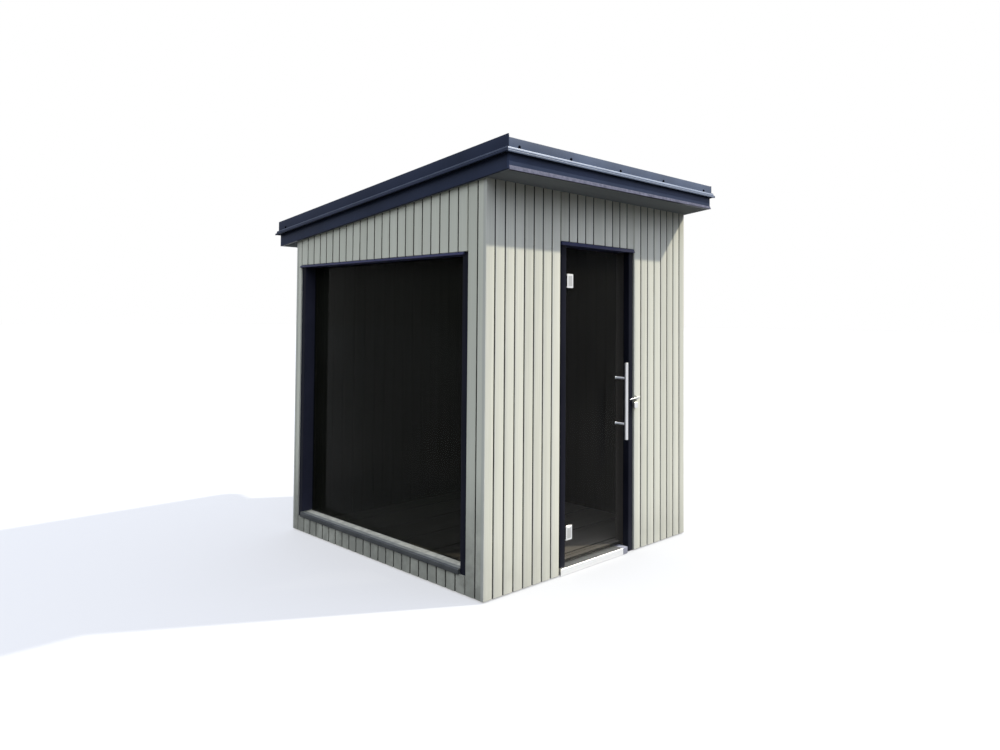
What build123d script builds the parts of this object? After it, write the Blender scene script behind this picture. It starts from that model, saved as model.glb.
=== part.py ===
import os

from build123d import *

# Outdoor sauna cabin with a single-pitch roof. Millimetres.
# X runs along the door wall, Y from the door wall to the back, Z up.
# The origin is on the ground under the middle of the whole outline.

# Walls and floor
cabin_width = 2000
cabin_depth = 1960
wall_thick = 110
front_height = 2287
roof_fall_share = 0.112
skirt_gap = 8
base_inset = 22
base_height = 40
floor_thick = 22

# Roof body and its edges, heights taken from the soffit plane
front_overhang = 192
back_overhang = 197
side_overhang = 25
roof_thick = 150
sheet_thick = 8
fascia_thick = 16
front_fascia_high = 87
side_fascia_high = 89
front_flashing_high = 76
left_flashing_high = 91
right_flashing_high = 75
front_flashing_proud = 5
side_flashing_proud = 14
side_sheet_thick = 8
lip_start = 25
lip_reach = 18
lip_fall = 15
lip_hem = 17
lip_thick = 4
strip_high = 27
strip_top_proud = 2
strip_proud = 9

# Door frame
door_offset = 643
door_frame_width = 736
door_head_drop = 298
door_jamb_face = 45
door_head_face = 22
frame_set_back = 9
head_kick = 9
head_lap = 12
threshold_top = 46
threshold_thick = 6
threshold_depth = 70
threshold_proud = 6
threshold_lap = 8
threshold_end_gap = 29
threshold_lift = 4
floor_tongue_gap = 4

# Door leaf, hinges and handle
door_recess = 43
door_glass_thick = 8
door_gap = 7
hinge_axis_in = 12
hinge_axis_back = 31
hinge_barrel_radius = 6
hinge_plate_thick = 10
hinge_plate_start = 39
hinge_plate_reach = 97
hinge_plate_high = 86
knuckle_end_gap = 10
hinge_bracket_high = 14
hinge_pin_radius = 3.2
hinge_pin_length = 40
running_gap = 0.3
hinge_top_drop = 168
hinge_bottom_rise = 141
bar_radius = 12
bar_length = 495
bar_middle_level = 996
bar_from_free_edge = 88
bar_stand_off = 83
post_spacing = 295
post_radius = 7

# Large fixed window
window_front_margin = 149
window_back_margin = 64
window_bottom = 110
window_head_drop = 182
window_jamb_face = 45
window_head_face = 15
sill_front_high = 27
sill_back_high = 31
sill_proud = 8
window_recess = 88
window_glass_thick = 12

# Hasp and padlock beside the door
hasp_start = 0
hasp_length = 110
hasp_high = 15
hasp_rise = 10
hasp_thick = 5
hasp_level = 990
staple_from_start = 55
staple_radius = 16
staple_wire = 2.5
padlock_width = 38
padlock_high = 38
padlock_thick = 18
padlock_drop = 12
padlock_shift = 3
shackle_radius = 10
shackle_wire = 2
shackle_top_drop = 5
shackle_out = 3

overrun = 50

# Outline and the places worked out from the sizes above
front_reach = front_overhang + front_flashing_proud + lip_reach
back_reach = back_overhang + front_flashing_proud + lip_reach
half_share = 0.5
left = -cabin_width * half_share
right = cabin_width * half_share
front = (front_reach - back_reach - cabin_depth) * half_share
back = front + cabin_depth
inner_left = left + wall_thick
inner_right = right - wall_thick
inner_front = front + wall_thick
inner_back = back - wall_thick


def soffit(y):
    return front_height - (y - front) * roof_fall_share


def block(x0, x1, y0, y1, z0, z1):
    corner = (Align.MIN, Align.MIN, Align.MIN)
    return Pos(x0, y0, z0) * Box(x1 - x0, y1 - y0, z1 - z0, align=corner)


def along_x(x0, x1, outline):
    face = make_face(Polyline(*[(x0, y, z) for y, z in outline], close=True))
    return extrude(face, amount=x1 - x0, dir=(1, 0, 0))


def under_roof(x0, x1, y0, y1, z0):
    return along_x(x0, x1, [(y0, z0), (y1, z0), (y1, soffit(y1)), (y0, soffit(y0))])


def roof_layer(x0, x1, y0, y1, low, high):
    return along_x(x0, x1, [
        (y0, soffit(y0) + low),
        (y1, soffit(y1) + low),
        (y1, soffit(y1) + high),
        (y0, soffit(y0) + high),
    ])


def upright(x, y, radius, z0, z1):
    ends = (Align.CENTER, Align.CENTER, Align.MIN)
    return Pos(x, y, z0) * Cylinder(radius, z1 - z0, align=ends)


parts = {}

# Base and floor; the boards hang a little below the top of the base
base = block(
    left + base_inset, right - base_inset,
    front + base_inset, back - base_inset,
    0, base_height,
)
floor_top = base_height + floor_thick
door_frame_top = front_height - door_head_drop
door_left = left + door_offset
door_right = door_left + door_frame_width
clear_left = door_left + door_jamb_face
clear_right = door_right - door_jamb_face
threshold_back = front + threshold_depth
floor_room = block(inner_left, inner_right, inner_front, inner_back, base_height, floor_top)
floor_tongue = block(
    clear_left, clear_right,
    threshold_back + floor_tongue_gap, inner_front,
    base_height, floor_top,
)
parts["base_frame"] = base
parts["floor_deck"] = floor_room + floor_tongue

# Door wall, split beside and over the doorway
parts["door_wall_left"] = under_roof(inner_left, door_left, front, inner_front, skirt_gap) - base
parts["door_wall_right"] = under_roof(door_right, inner_right, front, inner_front, skirt_gap) - base
parts["door_wall_over"] = under_roof(door_left, door_right, front, inner_front, door_frame_top)

# Window wall, split round the window
window_front = front + window_front_margin
window_back = back - window_back_margin
window_top = soffit(window_back) - window_head_drop
parts["window_wall_front"] = under_roof(left, inner_left, front, window_front, skirt_gap) - base
parts["window_wall_back"] = under_roof(left, inner_left, window_back, back, skirt_gap) - base
parts["window_wall_over"] = under_roof(left, inner_left, window_front, window_back, window_top)
window_under = block(left, inner_left, window_front, window_back, skirt_gap, window_bottom)
parts["window_wall_under"] = window_under - base

# Plain walls
parts["right_wall"] = under_roof(inner_right, right, front, back, skirt_gap) - base
parts["back_wall"] = under_roof(inner_left, inner_right, inner_back, back, skirt_gap) - base

# Roof body with its underside as soffit and ceiling, and the sheet on top
roof_front = front - front_overhang + fascia_thick
roof_back = back + back_overhang - fascia_thick
roof_left = left - side_overhang + fascia_thick
roof_right = right + side_overhang - fascia_thick
parts["roof_body"] = roof_layer(roof_left, roof_right, roof_front, roof_back, 0, roof_thick)
parts["roof_sheet"] = roof_layer(
    roof_left, roof_right, roof_front, roof_back, roof_thick, roof_thick + sheet_thick
)

# Fascias round the roof body
eave_front = front - front_overhang
eave_back = back + back_overhang
eave_left = left - side_overhang
eave_right = right + side_overhang
front_low = soffit(eave_front) + front_fascia_high
back_low = soffit(roof_back) + front_fascia_high


def cross_fascia(y0, y1, top):
    return along_x(eave_left, eave_right, [(y0, soffit(y0)), (y1, soffit(y1)), (y1, top), (y0, top)])


parts["fascia_front"] = cross_fascia(eave_front, roof_front, front_low)
parts["fascia_back"] = cross_fascia(roof_back, eave_back, back_low)
parts["fascia_left"] = roof_layer(eave_left, roof_left, roof_front, roof_back, 0, side_fascia_high)
parts["fascia_right"] = roof_layer(roof_right, eave_right, roof_front, roof_back, 0, side_fascia_high)
strip_low = soffit(eave_front)
parts["front_edge_strip"] = along_x(eave_left, eave_right, [
    (eave_front, strip_low),
    (eave_front, strip_low + strip_high),
    (eave_front - strip_top_proud, strip_low + strip_high),
    (eave_front - strip_proud, strip_low),
])

# Upper flashings with a drip lip that turns outward
band_left = eave_left - side_flashing_proud
band_right = eave_right + side_flashing_proud
band_front = eave_front - front_flashing_proud
band_back = eave_back + front_flashing_proud
lip_left = band_left - lip_reach
lip_right = band_right + lip_reach


def cross_lip(y, low, out):
    tip = y + out * lip_reach
    inner_tip = y + out * (lip_reach - lip_thick)
    start = low + lip_start
    bend = start - lip_fall
    return along_x(lip_left, lip_right, [
        (y, start),
        (tip, bend),
        (tip, bend - lip_hem),
        (inner_tip, bend - lip_hem),
        (inner_tip, bend - lip_thick),
        (y, start - lip_thick),
    ])


cross_left = band_left + side_sheet_thick
cross_right = band_right - side_sheet_thick
front_band = block(
    cross_left, cross_right, band_front, roof_front, front_low, front_low + front_flashing_high
)
back_band = block(
    cross_left, cross_right, roof_back, band_back, back_low, back_low + front_flashing_high
)
parts["flashing_front"] = front_band + cross_lip(band_front, front_low, -1)
parts["flashing_back"] = back_band + cross_lip(band_back, back_low, 1)


def side_run(inside, outside, out, flashing_high, y0, y1):
    level = soffit(y0)
    low = level + side_fascia_high
    high = low + flashing_high
    start = low + lip_start
    bend = start - lip_fall
    tip = outside + out * lip_reach
    inner_tip = outside + out * (lip_reach - lip_thick)
    section = make_face(Polyline(*[(x, y0, z) for x, z in [
        (inside, low),
        (outside, low),
        (outside, start - lip_thick),
        (inner_tip, bend - lip_thick),
        (inner_tip, bend - lip_hem),
        (tip, bend - lip_hem),
        (tip, bend),
        (outside, start),
        (outside, high),
        (inside, high),
    ]], close=True))
    run = Vector(0, y1 - y0, soffit(y1) - level)
    return extrude(section, amount=run.length, dir=run)


def side_flashing(inside, outside, out, flashing_high):
    sheet = outside - out * side_sheet_thick
    front_end = side_run(sheet, outside, out, flashing_high, band_front, roof_front)
    back_end = side_run(sheet, outside, out, flashing_high, roof_back, band_back)
    return side_run(inside, outside, out, flashing_high, roof_front, roof_back) + front_end + back_end


parts["flashing_left"] = side_flashing(roof_left, band_left, -1, left_flashing_high)
parts["flashing_right"] = side_flashing(roof_right, band_right, 1, right_flashing_high)

# Door frame, its jambs set back from the boards under a head that kicks out
frame_front = front + frame_set_back
head_low = door_frame_top - door_head_face
jamb_left = block(door_left, clear_left, frame_front, inner_front, threshold_top, head_low)
jamb_right = block(clear_right, door_right, frame_front, inner_front, skirt_gap, head_low)
parts["door_jamb_left"] = jamb_left - base
parts["door_jamb_right"] = jamb_right - base
door_head = along_x(door_left, door_right, [
    (front, door_frame_top),
    (front - head_kick, head_low),
    (inner_front, head_low),
    (inner_front, door_frame_top),
])
door_head_lap = along_x(door_left - head_lap, door_left, [
    (front, door_frame_top),
    (front - head_kick, head_low),
    (front, head_low),
])
parts["door_head"] = door_head + door_head_lap
threshold_left = door_left - threshold_lap
threshold_front = front - threshold_proud
threshold_right = clear_right - threshold_end_gap
sill_plate = block(
    door_left, threshold_right,
    threshold_front, threshold_back,
    threshold_top - threshold_thick, threshold_top,
)
sill_face = block(
    door_left, threshold_right,
    threshold_front, front + base_inset,
    threshold_lift, threshold_top,
)
sill_end = block(
    threshold_left, door_left,
    threshold_front, front,
    threshold_lift, threshold_top,
)
parts["door_threshold"] = sill_plate + sill_face + sill_end

# Door leaf: one sheet of glass hung on two plates with a barrel each
glass_front = front + door_recess
leaf_left = clear_left + door_gap
leaf_right = clear_right - door_gap
parts["door_glass"] = block(
    leaf_left, leaf_right,
    glass_front, glass_front + door_glass_thick,
    threshold_top + door_gap, head_low - door_gap,
)
axis_x = clear_left + hinge_axis_in
axis_y = front + hinge_axis_back


def hinge_plate(level):
    top = level + hinge_plate_high
    plate_back = glass_front - hinge_plate_thick
    plate_left = clear_left + hinge_plate_start
    plate = block(
        plate_left, clear_left + hinge_plate_reach,
        plate_back, glass_front,
        level, top,
    )
    knuckle = block(
        axis_x, plate_left,
        plate_back, glass_front,
        level + knuckle_end_gap, top - knuckle_end_gap,
    )
    barrel = upright(axis_x, axis_y, hinge_barrel_radius, level, top)
    bore = upright(
        axis_x, axis_y, hinge_pin_radius + running_gap,
        level - overrun, level + hinge_pin_length + running_gap,
    )
    return plate + knuckle + barrel - bore


def hinge_bracket(level):
    top = level - running_gap
    low = top - hinge_bracket_high
    arm = block(
        clear_left, axis_x,
        axis_y - hinge_barrel_radius, axis_y + hinge_barrel_radius,
        low, top,
    )
    pin = upright(axis_x, axis_y, hinge_pin_radius, low, level + hinge_pin_length)
    return arm + upright(axis_x, axis_y, hinge_barrel_radius, low, top) + pin


hinge_top_level = head_low - hinge_top_drop - hinge_plate_high
hinge_bottom_level = threshold_top + hinge_bottom_rise
parts["hinge_plate_top"] = hinge_plate(hinge_top_level)
parts["hinge_plate_bottom"] = hinge_plate(hinge_bottom_level)
parts["hinge_bracket_top"] = hinge_bracket(hinge_top_level)
parts["hinge_bracket_bottom"] = hinge_bracket(hinge_bottom_level)

# Round pull bar on two posts that are cut to its curve
bar_x = leaf_right - bar_from_free_edge
bar_y = glass_front - bar_stand_off
bar_low = bar_middle_level - bar_length * half_share
parts["handle_bar"] = upright(bar_x, bar_y, bar_radius, bar_low, bar_low + bar_length)


def handle_post(level):
    turned = Pos(bar_x, glass_front, level) * Rot(90, 0, 0)
    ends = (Align.CENTER, Align.CENTER, Align.MIN)
    return turned * Cylinder(post_radius, bar_stand_off, align=ends) - parts["handle_bar"]


post_half = post_spacing * half_share
parts["handle_post_top"] = handle_post(bar_middle_level + post_half)
parts["handle_post_bottom"] = handle_post(bar_middle_level - post_half)

# Window frame lining the whole depth of the wall, sloped sill and glass
frame_left = left + frame_set_back
window_head_low = window_top - window_head_face
sill_left = left - sill_proud
pane_front = window_front + window_jamb_face
pane_back = window_back - window_jamb_face
parts["window_jamb_front"] = block(
    frame_left, inner_left, window_front, pane_front, window_bottom, window_head_low
)
parts["window_jamb_back"] = block(
    frame_left, inner_left, pane_back, window_back, window_bottom, window_head_low
)
window_head_section = make_face(Polyline(
    (left, window_front, window_top),
    (left - head_kick, window_front, window_head_low),
    (inner_left, window_front, window_head_low),
    (inner_left, window_front, window_top),
    close=True,
))
window_head = extrude(window_head_section, amount=window_back - window_front, dir=(0, 1, 0))
window_lap_section = make_face(Polyline(
    (left, window_back, window_top),
    (left - head_kick, window_back, window_head_low),
    (left, window_back, window_head_low),
    close=True,
))
window_head_lap = extrude(window_lap_section, amount=head_lap, dir=(0, 1, 0))
parts["window_head"] = window_head + window_head_lap
sill_outline = make_face(Polyline(
    (sill_left, pane_front, window_bottom),
    (inner_left, pane_front, window_bottom),
    (inner_left, pane_front, window_bottom + sill_back_high),
    (left + window_recess, pane_front, window_bottom + sill_back_high),
    (sill_left, pane_front, window_bottom + sill_front_high),
    close=True,
))
parts["window_sill"] = extrude(sill_outline, amount=pane_back - pane_front, dir=(0, 1, 0))
pane_left = left + window_recess
parts["window_glass"] = block(
    pane_left, pane_left + window_glass_thick,
    pane_front, pane_back,
    window_bottom + sill_back_high, window_head_low,
)

# Hasp strap on the boards with its staple, and the padlock hanging in the staple
hasp_left = clear_right + hasp_start
hasp_right = hasp_left + hasp_length
hasp_back = front
strap_face = make_face(Polyline(
    (hasp_left, hasp_back, hasp_level),
    (hasp_right, hasp_back, hasp_level + hasp_rise),
    (hasp_right, hasp_back, hasp_level + hasp_rise + hasp_high),
    (hasp_left, hasp_back, hasp_level + hasp_high),
    close=True,
))
parts["hasp_strap"] = extrude(strap_face, amount=hasp_thick, dir=(0, -1, 0))
staple_x = hasp_left + staple_from_start
staple_z = hasp_level + (hasp_rise + hasp_high) * half_share
hasp_front = hasp_back - hasp_thick
staple_ring = Pos(staple_x, hasp_back, staple_z) * Rot(0, 90, 0) * Torus(staple_radius, staple_wire)
outside = block(
    hasp_left - overrun, hasp_right + overrun,
    hasp_back - overrun, hasp_back,
    hasp_level - overrun, hasp_level + overrun,
)
parts["hasp_staple"] = staple_ring & outside

# The padlock leans on the boards, its shackle through the staple
padlock_x = staple_x - padlock_shift
padlock_left = padlock_x - padlock_width * half_share
padlock_top = hasp_level - padlock_drop
shackle_y = hasp_front - shackle_out
bow_z = staple_z - shackle_top_drop - shackle_radius
bow = Pos(padlock_x, shackle_y, bow_z) * Rot(90, 0, 0) * Torus(shackle_radius, shackle_wire)
above = block(
    padlock_x - overrun, padlock_x + overrun,
    shackle_y - overrun, shackle_y + overrun,
    bow_z, bow_z + overrun,
)
padlock = block(
    padlock_left, padlock_left + padlock_width,
    hasp_back - padlock_thick, hasp_back,
    padlock_top - padlock_high, padlock_top,
)
for side in (-shackle_radius, shackle_radius):
    padlock += upright(padlock_x + side, shackle_y, shackle_wire, padlock_top - padlock_drop, bow_z)
parts["padlock"] = padlock + (bow & above)

os.makedirs("parts", exist_ok=True)
for name, shape in parts.items():
    export_step(shape, f"parts/{name}.step")
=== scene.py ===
import math

import bpy
import numpy as np
from mathutils import Matrix, Vector


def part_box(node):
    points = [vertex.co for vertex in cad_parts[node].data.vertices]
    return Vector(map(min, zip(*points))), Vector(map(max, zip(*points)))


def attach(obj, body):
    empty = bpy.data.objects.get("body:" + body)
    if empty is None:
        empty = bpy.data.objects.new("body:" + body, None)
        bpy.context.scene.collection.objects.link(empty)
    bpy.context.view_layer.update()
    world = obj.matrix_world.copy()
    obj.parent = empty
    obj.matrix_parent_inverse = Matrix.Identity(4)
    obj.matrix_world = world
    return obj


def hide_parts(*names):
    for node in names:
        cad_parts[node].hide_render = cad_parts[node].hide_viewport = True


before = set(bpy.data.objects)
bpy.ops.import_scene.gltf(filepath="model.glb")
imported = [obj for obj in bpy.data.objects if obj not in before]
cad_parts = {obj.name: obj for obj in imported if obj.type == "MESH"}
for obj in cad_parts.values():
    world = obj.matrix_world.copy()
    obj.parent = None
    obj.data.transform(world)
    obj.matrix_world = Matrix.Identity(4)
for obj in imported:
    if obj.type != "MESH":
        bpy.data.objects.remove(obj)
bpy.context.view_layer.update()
boardSeed = 41
rng = np.random.default_rng(boardSeed)
hair = 1e-5  # metres; a shorter length counts as none
print("frame loaded:", len(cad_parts), "nodes")


def low(node):
    return np.array(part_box(node)[0])


def high(node):
    return np.array(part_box(node)[1])


# the planes that the pieces share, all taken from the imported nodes
wallFront, wallBack = low("right_wall")[1], high("right_wall")[1]
wallLeft, wallRight = low("window_wall_front")[0], high("right_wall")[0]
innerLeft, innerRight = high("window_wall_front")[0], low("right_wall")[0]
innerFront, innerBack = high("door_wall_left")[1], low("back_wall")[1]
footLevel, baseTop = low("right_wall")[2], high("base_frame")[2]
doorLeft, doorRight = low("door_wall_over")[0], high("door_wall_over")[0]
clearLeft, clearRight = high("door_jamb_left")[0], low("door_jamb_right")[0]
doorTop, doorHeadLow = low("door_wall_over")[2], low("door_head")[2]
windowFront, windowBack = low("window_wall_over")[1], high("window_wall_over")[1]
windowTop, windowLow = low("window_wall_over")[2], high("window_wall_under")[2]
roofPitch = {"frontHeight": high("right_wall")[2], "fall": 0.112}


def soffitAt(y):
    # underside of the roof, a plane that falls evenly from front to back
    return roofPitch["frontHeight"] - (np.asarray(y) - wallFront) * roofPitch["fall"]


# camera at the photograph's place

view = {
    "place": (-3.8758, -3.9205, 1.5208), "yaw": 43.854, "pitch": 1.794, "roll": 0.489,
    "lens": 27.446, "sensor": 36, "shiftX": 0.02141, "shiftY": -0.08023, "farthest": 300,
}
yaw, pitch, roll = (math.radians(view[key]) for key in ("yaw", "pitch", "roll"))
sideways = Vector((math.cos(yaw), -math.sin(yaw), 0))
ahead = Vector((math.sin(yaw) * math.cos(pitch), math.cos(yaw) * math.cos(pitch), math.sin(pitch)))
upwards = sideways.cross(ahead)
rolledSide = sideways * math.cos(roll) + upwards * math.sin(roll)
rolledUp = upwards * math.cos(roll) - sideways * math.sin(roll)
cameraData = bpy.data.cameras.new("viewCamera")
cameraData.lens = view["lens"]
cameraData.sensor_width = view["sensor"]
cameraData.sensor_fit = "HORIZONTAL"
cameraData.shift_x, cameraData.shift_y = view["shiftX"], view["shiftY"]
cameraData.clip_end = view["farthest"]
camera = bpy.data.objects.new("viewCamera", cameraData)
camera.matrix_world = (
    Matrix.Translation(view["place"]) @ Matrix((rolledSide, rolledUp, -ahead)).transposed().to_4x4()
)
bpy.context.scene.collection.objects.link(camera)
bpy.context.scene.camera = camera
bpy.context.scene.view_settings.view_transform = "Standard"
print("camera placed")


# shapes: outlines are rows of two numbers, shells are closed surfaces

def roundOff(corners, reach, steps=4, most=0.45):
    # each corner becomes a parabola from a point before it to a point after it;
    # most is the largest share of an edge that one corner takes
    corners = np.asarray(corners, float)
    reach = np.broadcast_to(np.asarray(reach, float), (len(corners),))[:, None]
    ends = []
    for way in (1, -1):
        edge = np.roll(corners, way, 0) - corners
        length = np.linalg.norm(edge, axis=1, keepdims=True)
        ends.append((corners + edge / length * np.minimum(reach, length * most))[:, None])
    t = np.linspace(0, 1, steps)[None, :, None]
    curve = (1 - t) ** 2 * ends[0] + 2 * t * (1 - t) * corners[:, None] + t ** 2 * ends[1]
    points = curve.reshape(-1, 2)
    return points[np.linalg.norm(points - np.roll(points, 1, 0), axis=1) > hair]


def rectangle(x0, x1, y0, y1):
    return np.array([(x0, y0), (x1, y0), (x1, y1), (x0, y1)])


def nextEdges(outline):
    # for every edge of an outline: its middle, and how far it goes each way
    following = np.roll(outline, -1, 0)
    return (outline + following) / 2, np.abs(following - outline)


def drawIn(outline, amount):
    # every point moves inwards along the mean of its two edge normals
    following = np.roll(outline, -1, 0)
    edges = following - outline
    normals = np.column_stack([edges[:, 1], -edges[:, 0]])
    normals /= np.linalg.norm(normals, axis=1, keepdims=True)
    mean = normals + np.roll(normals, 1, 0)
    mean /= np.maximum(np.linalg.norm(mean, axis=1, keepdims=True), hair)
    area = np.sum(outline[:, 0] * following[:, 1] - outline[:, 1] * following[:, 0])
    return outline - np.sign(area) * amount * mean


def ringShell(rings, paint=0, tone=0.5):
    # rings of equal count joined by quads, a flat cap on the first and the last ring
    rings = np.asarray(rings, float)
    levels, count = rings.shape[:2]
    index = np.arange(levels * count).reshape(levels, count)
    following = np.roll(index, -1, 1)
    quads = np.stack([index[:-1], following[:-1], following[1:], index[1:]], -1).reshape(-1, 4)
    points = rings.reshape(-1, 3)
    centred = points - points.mean(0)
    a, b, c, d = (centred[quads[:, k]] for k in range(4))
    volume = np.sum(a * np.cross(b, c)) + np.sum(a * np.cross(c, d))
    first, last = centred[index[0]], centred[index[-1]]
    volume += np.sum(np.cross(np.roll(first, -1, 0), first) @ first.mean(0))
    volume += np.sum(np.cross(last, np.roll(last, -1, 0)) @ last.mean(0))
    caps = [index[0][::-1], index[-1]]
    if volume < 0:  # turned inside out, so every face is reversed
        quads, caps = quads[:, ::-1], [cap[::-1] for cap in caps]
    paints = np.broadcast_to(np.asarray(paint), (levels - 1, count)).reshape(-1)
    return {"points": points, "quads": quads, "caps": caps, "paints": paints, "tone": tone}


def upright(outline, lowLevel, topLevel, easeLow=0.0, easeTop=0.0, paint=0, tone=0.5):
    # a plan outline carried straight up; a level may be a number or the roof's plane
    def ring(plan, level, lift):
        height = level(plan[:, 1]) if callable(level) else np.full(len(plan), level)
        return np.column_stack([plan, height + lift])

    rings = [ring(outline, lowLevel, easeLow), ring(outline, topLevel, -easeTop)]
    if easeLow:
        rings.insert(0, ring(drawIn(outline, easeLow), lowLevel, 0))
    if easeTop:
        rings.append(ring(drawIn(outline, easeTop), topLevel, 0))
    return ringShell(np.stack(rings), paint, tone)


def carried(outline, start, stop, axis, ease=0.0, slope=0.0, paint=0, tone=0.5):
    # an outline across axis 0 (y, z) or axis 1 (x, z) carried along it, its ends eased;
    # slope lifts it for every metre
    def ring(place, section):
        points = np.empty((len(section), 3))
        points[:, axis] = place
        points[:, 1 - axis] = section[:, 0]
        points[:, 2] = section[:, 1] + slope * (place - start)
        return points

    outline = np.asarray(outline, float)
    rings = [ring(start + ease, outline), ring(stop - ease, outline)]
    if ease:
        tight = drawIn(outline, ease)
        rings = [ring(start, tight)] + rings + [ring(stop, tight)]
    return ringShell(np.stack(rings), paint, tone)


def turned(profile, centre, axis, sides=24, paint=0, capped=False, axisRadius=0.0001):
    # a profile of radius and height turned round an axis through centre, drawn in to the axis
    # at its start and, unless it ends in a flat cap, at its end
    closing = [] if capped else [(axisRadius, profile[-1][1])]
    profile = np.array([(axisRadius, profile[0][1]), *profile, *closing], float)
    axis = np.array(axis, float)
    side = np.roll(axis, 1)
    angle = np.linspace(0, 2 * math.pi, sides, endpoint=False)
    circle = np.cos(angle)[:, None] * side + np.sin(angle)[:, None] * np.cross(axis, side)
    rings = np.array(centre) + profile[:, :1, None] * circle + (profile[:, 1:] * axis)[:, None]
    return ringShell(rings, paint)


def rod(path, radius, planeNormal, sides=16, paint=0):
    # a circle carried along a path that lies in one plane
    path = np.asarray(path, float)
    planeNormal = np.array(planeNormal, float)
    tangent = np.gradient(path, axis=0)
    tangent /= np.linalg.norm(tangent, axis=1, keepdims=True)
    across = np.cross(tangent, planeNormal)
    angle = np.linspace(0, 2 * math.pi, sides, endpoint=False)[None, :, None]
    rings = path[:, None] + radius * (np.cos(angle) * planeNormal + np.sin(angle) * across[:, None])
    return ringShell(rings, paint)


# finishes

noiseSpan = (0.3, 0.7)  # nearly all of a noise lies in it
bumpDepth = {"grain": 0.001, "peel": 0.0004, "scratch": 0.0003}


def addNode(tree, kind, values=None, **settings):
    node = tree.nodes.new(kind)
    for key, value in settings.items():
        setattr(node, key, value)
    for key, value in (values or {}).items():
        node.inputs[key].default_value = value
    return node


def wire(tree, *pairs):
    for source, target in pairs:
        tree.links.new(source, target)


def addNoise(tree, vector, detail, roughness, scale=1.0, distortion=0.0):
    values = {"Scale": scale, "Detail": detail, "Roughness": roughness, "Distortion": distortion}
    node = addNode(tree, "ShaderNodeTexNoise", values)
    wire(tree, (vector, node.inputs["Vector"]))
    return node


def rescale(tree, value, toMin, toMax, fromMin=0.0, fromMax=1.0):
    values = {"From Min": fromMin, "From Max": fromMax, "To Min": toMin, "To Max": toMax}
    node = addNode(tree, "ShaderNodeMapRange", values)
    wire(tree, (value, node.inputs["Value"]))
    return node.outputs[0]


def startGroup(name, inputs, outputs):
    # an input with no value of its own is a vector, every other socket is a number
    group = bpy.data.node_groups.new(name, "ShaderNodeTree")
    for label, value in inputs.items():
        kind = "NodeSocketVector" if value is None else "NodeSocketFloat"
        socket = group.interface.new_socket(label, in_out="INPUT", socket_type=kind)
        if value is not None:
            socket.default_value = value
    for label in outputs:
        group.interface.new_socket(label, in_out="OUTPUT", socket_type="NodeSocketFloat")
    return group, group.nodes.new("NodeGroupInput"), group.nodes.new("NodeGroupOutput")


def timberGrainGroup():
    # fine streaks blended with broad bands; the vector arrives already stretched along the board
    group, given, out = startGroup("timberGrain", {"Vector": None, "Bands": 0.35}, ["Grain"])
    fine = addNoise(group, given.outputs["Vector"], detail=6.0, roughness=0.62, distortion=0.3)
    broad = addNoise(group, given.outputs["Vector"], detail=3.0, roughness=0.5, scale=0.17)
    blend = addNode(group, "ShaderNodeMix", data_type="FLOAT")
    wire(
        group,
        (given.outputs["Bands"], blend.inputs[0]), (fine.outputs[0], blend.inputs[2]),
        (broad.outputs[0], blend.inputs[3]),
        (rescale(group, blend.outputs[0], 0, 1, *noiseSpan), out.inputs["Grain"]),
    )
    return group


def weatherAndShadeGroup():
    # a mask that darkens the foot and fades out with height, splash dirt that on the shaded left wall is also
    # painted shade, and a mask of dust on faces that look up, both blotchy
    group, given, out = startGroup("weatherAndShade", {"Splash height": 0.3}, ["SplashAndShade", "Dust"])
    place = addNode(group, "ShaderNodeTexCoord").outputs["Object"]
    normal = addNode(group, "ShaderNodeNewGeometry").outputs["Normal"]
    blotch = addNoise(group, place, detail=5.0, roughness=0.6, scale=7.0)
    height, facing = addNode(group, "ShaderNodeSeparateXYZ"), addNode(group, "ShaderNodeSeparateXYZ")
    fade = addNode(
        group, "ShaderNodeMapRange", {"To Min": 1.0, "To Max": 0.0}, interpolation_type="SMOOTHSTEP",
    )
    wire(
        group,
        (place, height.inputs[0]), (height.outputs["Z"], fade.inputs["Value"]),
        (given.outputs["Splash height"], fade.inputs["From Max"]), (normal, facing.inputs[0]),
    )
    upFace = rescale(group, facing.outputs["Z"], 0, 1, fromMin=0.35, fromMax=0.95)
    for label, mask in (("SplashAndShade", fade.outputs[0]), ("Dust", upFace)):
        broken = addNode(group, "ShaderNodeMath", operation="MULTIPLY")
        wire(
            group,
            (mask, broken.inputs[0]), (blotch.outputs[0], broken.inputs[1]),
            (broken.outputs[0], out.inputs[label]),
        )
    return group


def coatGroup():
    # orange peel of a sprayed coat, and slow changes of its tone
    group, given, out = startGroup("sprayedCoat", {"Peel scale": 420.0, "Tone scale": 2.6}, ["Peel", "Tone"])
    place = addNode(group, "ShaderNodeTexCoord").outputs["Object"]
    peel = addNoise(group, place, detail=2.0, roughness=0.5)
    slow = addNoise(group, place, detail=4.0, roughness=0.55)
    wire(
        group,
        (given.outputs["Peel scale"], peel.inputs["Scale"]),
        (given.outputs["Tone scale"], slow.inputs["Scale"]),
        (peel.outputs[0], out.inputs["Peel"]),
        (rescale(group, slow.outputs[0], 0, 1, *noiseSpan), out.inputs["Tone"]),
    )
    return group


timberGrain, weatherAndShade, sprayedCoat = timberGrainGroup(), weatherAndShadeGroup(), coatGroup()


def placeGroup(tree, group, **values):
    values = {label.replace("_", " "): value for label, value in values.items()}
    return addNode(tree, "ShaderNodeGroup", values, node_tree=group).outputs


def startFinish(name, **sockets):
    finish = bpy.data.materials.new(name)
    finish.use_nodes = True
    tree = finish.node_tree
    tree.nodes.clear()
    out = tree.nodes.new("ShaderNodeOutputMaterial")
    shader = tree.nodes.new("ShaderNodeBsdfPrincipled")
    wire(tree, (shader.outputs[0], out.inputs["Surface"]))
    for key, value in sockets.items():
        shader.inputs[key.replace("_", " ")].default_value = value
    return finish, tree, shader.inputs


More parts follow.
